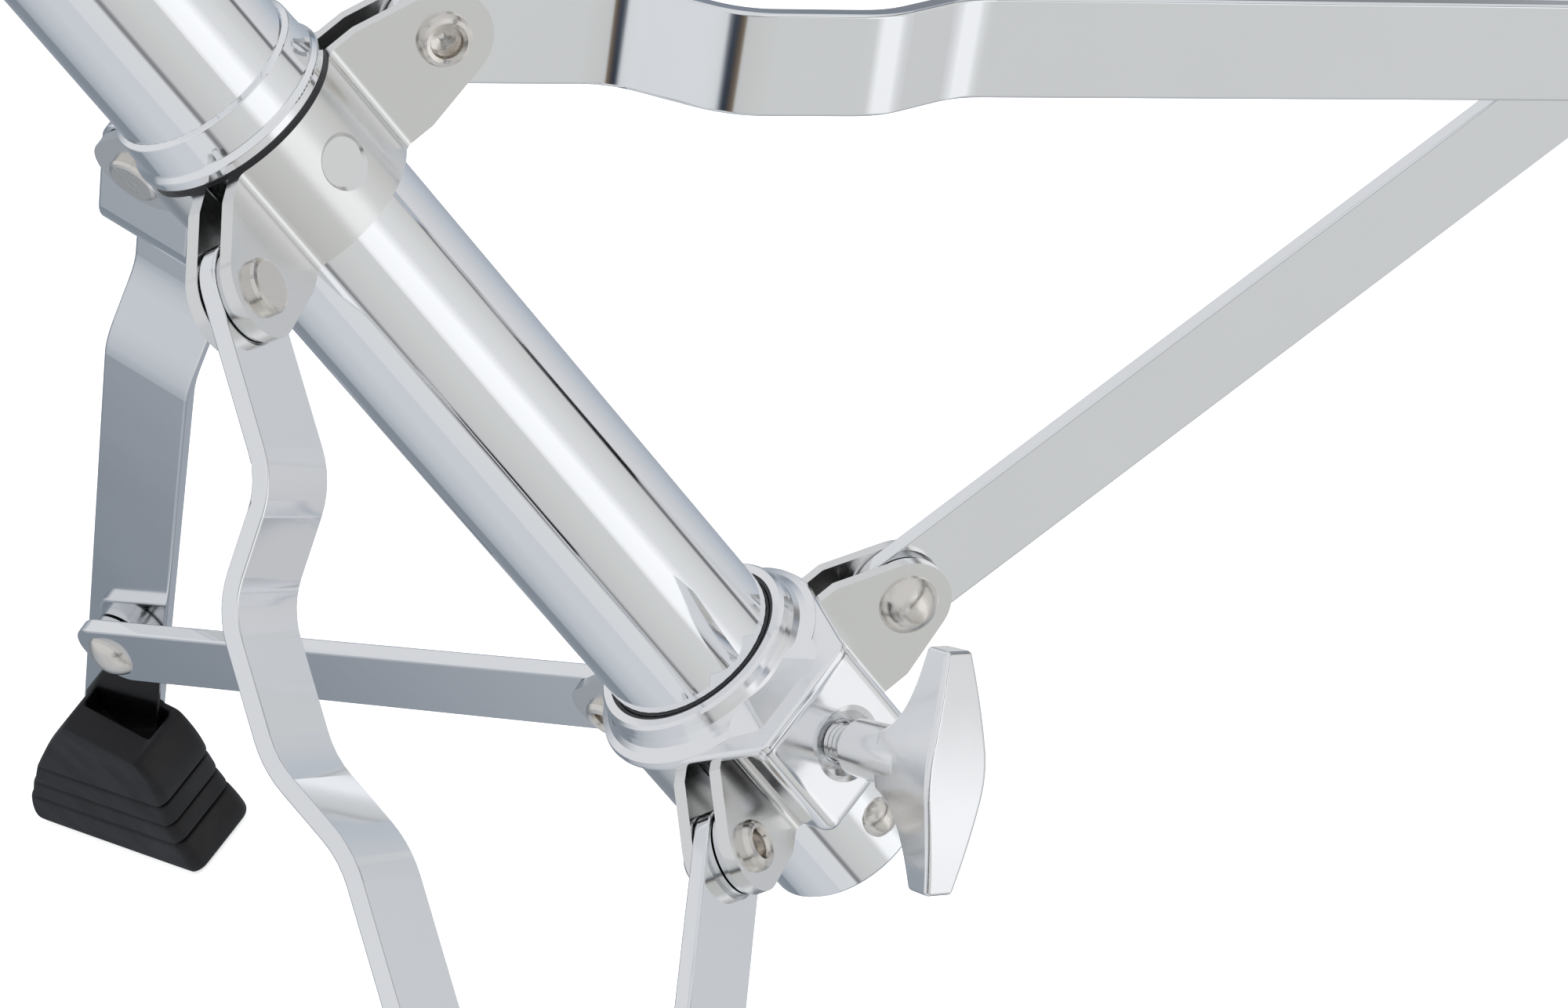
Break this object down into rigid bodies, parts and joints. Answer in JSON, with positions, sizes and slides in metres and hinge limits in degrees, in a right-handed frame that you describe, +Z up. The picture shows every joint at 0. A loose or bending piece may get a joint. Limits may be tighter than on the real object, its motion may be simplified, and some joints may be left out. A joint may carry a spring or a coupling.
{
  "type": "snare drum stand",
  "caption": "Folding snare drum stand: braced flat-strip tripod with sliding collar, telescoping column, tilter and a basket of arms with rubber grips.",
  "frame": {"origin": "on the floor, on the axis of the column", "axes": "+Z up along the column; leg 3 points along +Y, legs 1 and 2 at 30 degrees below +X and -X"},
  "size_m": [0.4671, 0.4122, 0.549],
  "materials": {
    "chrome": "mirror polished",
    "satin_nickel": "satin",
    "rivet_nickel": "warm satin",
    "plated_steel": "bright zinc plate",
    "black_nylon": "matt",
    "rubber": "matt"
  },
  "bodies": {
    "base": {"base_tube": "chrome", "tube_stop_rivets": "rivet_nickel", "leg_plate_1": "satin_nickel", "leg_plate_2": "satin_nickel", "leg_plate_3": "satin_nickel", "bracket_gasket": "black_nylon", "bracket_ferrule": "chrome", "leg_pivot_rivets": "rivet_nickel", "height_clamp": "chrome"},
    "collar": {"collar_casting": "chrome", "collar_bush": "black_nylon", "collar_plate_1": "satin_nickel", "collar_plate_2": "satin_nickel", "collar_plate_3": "satin_nickel", "brace_pivot_rivets": "rivet_nickel", "brace_pivot_washers": "plated_steel"},
    "collar_wing": {"collar_wing": "chrome", "collar_screw": "plated_steel"},
    "clamp_wing": {"clamp_wing": "chrome", "clamp_screw": "plated_steel"},
    "swivel": {"clamp_bush": "black_nylon"},
    "upper": {"upper_tube": "chrome", "tilter_base": "chrome", "tilter_bolt": "plated_steel"},
    "basket": {"tilter_head": "chrome", "basket_rod": "plated_steel", "basket_hub": "chrome", "arm_pivot_pins": "rivet_nickel", "rod_cap": "chrome"},
    "tilter_wing": {"tilter_wing": "chrome"},
    "basket_nut": {"basket_nut": "chrome"},
    "leg_1": {"leg_1": "chrome", "leg_washers_1": "plated_steel", "leg_joint_rivet_1": "rivet_nickel", "foot_1": "rubber"},
    "brace_1": {"brace_1": "chrome", "brace_joint_rivet_1": "rivet_nickel", "brace_spacer_1": "plated_steel"},
    "arm_1": {"arm_1": "chrome", "grip_1": "rubber"},
    "leg_2": {"leg_2": "chrome", "leg_washers_2": "plated_steel", "leg_joint_rivet_2": "rivet_nickel", "foot_2": "rubber"},
    "brace_2": {"brace_2": "chrome", "brace_joint_rivet_2": "rivet_nickel", "brace_spacer_2": "plated_steel"},
    "arm_2": {"arm_2": "chrome", "grip_2": "rubber"},
    "leg_3": {"leg_3": "chrome", "leg_washers_3": "plated_steel", "leg_joint_rivet_3": "rivet_nickel", "foot_3": "rubber"},
    "brace_3": {"brace_3": "chrome", "brace_joint_rivet_3": "rivet_nickel", "brace_spacer_3": "plated_steel"},
    "arm_3": {"arm_3": "chrome", "grip_3": "rubber"}
  },
  "joints": [
    {"name": "tripod_fold", "type": "slide", "parent": "base", "child": "collar", "axis": [0, 0, 1], "range_m": [0, 0.07478]},
    {"name": "leg_1_fold", "type": "hinge", "parent": "base", "child": "leg_1", "pos_m": [0.02598, -0.015, 0.2], "axis": [0.5, 0.866, 0], "range_deg": [0, 39.06]},
    {"name": "brace_1_fold", "type": "hinge", "parent": "collar", "child": "brace_1", "pos_m": [0.02615, -0.0151, 0.0716], "axis": [0.5, 0.866, 0], "range_deg": [0, 76.74]},
    {"name": "leg_2_fold", "type": "hinge", "parent": "base", "child": "leg_2", "pos_m": [-0.02598, -0.015, 0.2], "axis": [0.5, -0.866, 0], "range_deg": [0, 39.06]},
    {"name": "brace_2_fold", "type": "hinge", "parent": "collar", "child": "brace_2", "pos_m": [-0.02615, -0.0151, 0.0716], "axis": [0.5, -0.866, 0], "range_deg": [0, 76.74]},
    {"name": "leg_3_fold", "type": "hinge", "parent": "base", "child": "leg_3", "pos_m": [0, 0.03, 0.2], "axis": [-1, 0, 0], "range_deg": [0, 39.06]},
    {"name": "brace_3_fold", "type": "hinge", "parent": "collar", "child": "brace_3", "pos_m": [0, 0.0302, 0.0716], "axis": [-1, 0, 0], "range_deg": [0, 76.74]},
    {"name": "collar_wing_turn", "type": "hinge", "parent": "collar", "child": "collar_wing", "pos_m": [-0.00487, -0.0397, 0.0713], "axis": [-0.1219, -0.9925, 0], "continuous": true},
    {"name": "clamp_wing_turn", "type": "hinge", "parent": "base", "child": "clamp_wing", "pos_m": [-0.00487, -0.0397, 0.296], "axis": [-0.1219, -0.9925, 0], "continuous": true},
    {"name": "column_swivel", "type": "hinge", "parent": "base", "child": "swivel", "pos_m": [0, 0, 0.3], "axis": [0, 0, 1], "continuous": true},
    {"name": "height_slide", "type": "slide", "parent": "swivel", "child": "upper", "axis": [0, 0, 1], "range_m": [-0.06, 0.1]},
    {"name": "basket_tilt", "type": "hinge", "parent": "upper", "child": "basket", "pos_m": [0, 0, 0.425], "axis": [1, 0, 0], "range_deg": [-20, 90]},
    {"name": "tilter_wing_turn", "type": "hinge", "parent": "upper", "child": "tilter_wing", "pos_m": [0.02, 0, 0.425], "axis": [1, 0, 0], "continuous": true},
    {"name": "basket_nut_turn", "type": "hinge", "parent": "basket", "child": "basket_nut", "pos_m": [0, 0, 0.463], "axis": [0, 0, 1], "continuous": true},
    {"name": "arm_1_fold", "type": "hinge", "parent": "basket", "child": "arm_1", "pos_m": [0.01472, -0.0085, 0.48], "axis": [-0.5, -0.866, 0], "range_deg": [0, 60]},
    {"name": "arm_2_fold", "type": "hinge", "parent": "basket", "child": "arm_2", "pos_m": [-0.01472, -0.0085, 0.48], "axis": [-0.5, 0.866, 0], "range_deg": [0, 60]},
    {"name": "arm_3_fold", "type": "hinge", "parent": "basket", "child": "arm_3", "pos_m": [0, 0.017, 0.48], "axis": [1, 0, 0], "range_deg": [0, 60]}
  ],
  "couplings": [
    {"joint": "leg_1_fold", "follows": "tripod_fold", "rad_per_m": 9.1151},
    {"joint": "brace_1_fold", "follows": "tripod_fold", "rad_per_m": 17.909},
    {"joint": "leg_2_fold", "follows": "tripod_fold", "rad_per_m": 9.1151},
    {"joint": "brace_2_fold", "follows": "tripod_fold", "rad_per_m": 17.909},
    {"joint": "leg_3_fold", "follows": "tripod_fold", "rad_per_m": 9.1151},
    {"joint": "brace_3_fold", "follows": "tripod_fold", "rad_per_m": 17.909}
  ]
}
